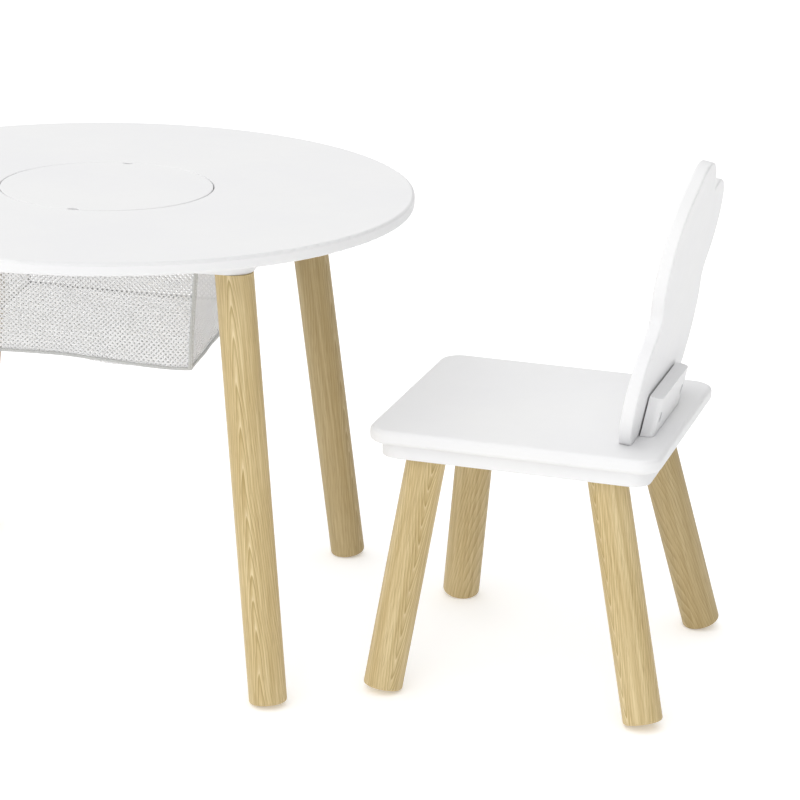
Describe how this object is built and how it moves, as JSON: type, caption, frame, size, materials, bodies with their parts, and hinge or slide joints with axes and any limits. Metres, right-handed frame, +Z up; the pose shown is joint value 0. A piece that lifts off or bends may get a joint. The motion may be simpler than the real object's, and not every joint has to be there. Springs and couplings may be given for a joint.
{
  "type": "kids table and chair",
  "caption": "Round child's table on four splayed wooden legs with a lift-out lid over a mesh storage bag, and a small chair with a cloud-shaped back.",
  "frame": {"origin": "on the floor, under the middle of the whole set's bounding box", "axes": "+X from the table towards the chair, +Y away from the set's front, +Z up"},
  "size_m": [0.9135, 0.6, 0.5144],
  "materials": {
    "white_paint": "smooth satin white paint on fibreboard",
    "natural_wood": "clear matt lacquer on pale straight-grained wood",
    "bare_board": "white painted strip",
    "mesh": "light grey-white diamond net",
    "binding": "woven polyester binding tape",
    "zinc_steel": "zinc-plated"
  },
  "bodies": {
    "table": {"table_top": "white_paint", "lid_ledge": "white_paint", "ledge_screws": "zinc_steel", "rail_front": "white_paint", "rail_back": "white_paint", "rail_left": "white_paint", "rail_right": "white_paint", "rail_screws": "zinc_steel", "table_leg_front_left": "natural_wood", "table_leg_front_right": "natural_wood", "table_leg_back_left": "natural_wood", "table_leg_back_right": "natural_wood", "table_leg_bolts": "zinc_steel", "table_leg_inserts": "zinc_steel", "bag_panel_front": "mesh", "bag_panel_back": "mesh", "bag_panel_left": "mesh", "bag_panel_right": "mesh", "bag_panel_bottom": "mesh", "bag_piping": "binding", "bag_hem": "binding", "bag_battens": "bare_board", "batten_screws": "zinc_steel"},
    "lid": {"lid": "white_paint"},
    "chair": {"seat_board": "white_paint", "seat_base": "white_paint", "chair_leg_front_left": "natural_wood", "chair_leg_front_right": "natural_wood", "chair_leg_back_left": "natural_wood", "chair_leg_back_right": "natural_wood", "chair_leg_bolts": "zinc_steel", "chair_leg_inserts": "zinc_steel", "backrest": "white_paint", "back_block": "white_paint", "back_bolts": "zinc_steel", "back_inserts": "zinc_steel", "block_screws": "zinc_steel", "base_screws": "zinc_steel"}
  },
  "joints": [
    {"name": "lid_lift", "type": "slide", "parent": "table", "child": "lid", "axis": [0, 0, 1], "range_m": [0, 0.12]},
    {"name": "chair_slide", "type": "slide", "parent": "table", "child": "chair", "axis": [0.9907, -0.1357, 0], "range_m": [-0.24, 0.3]}
  ]
}
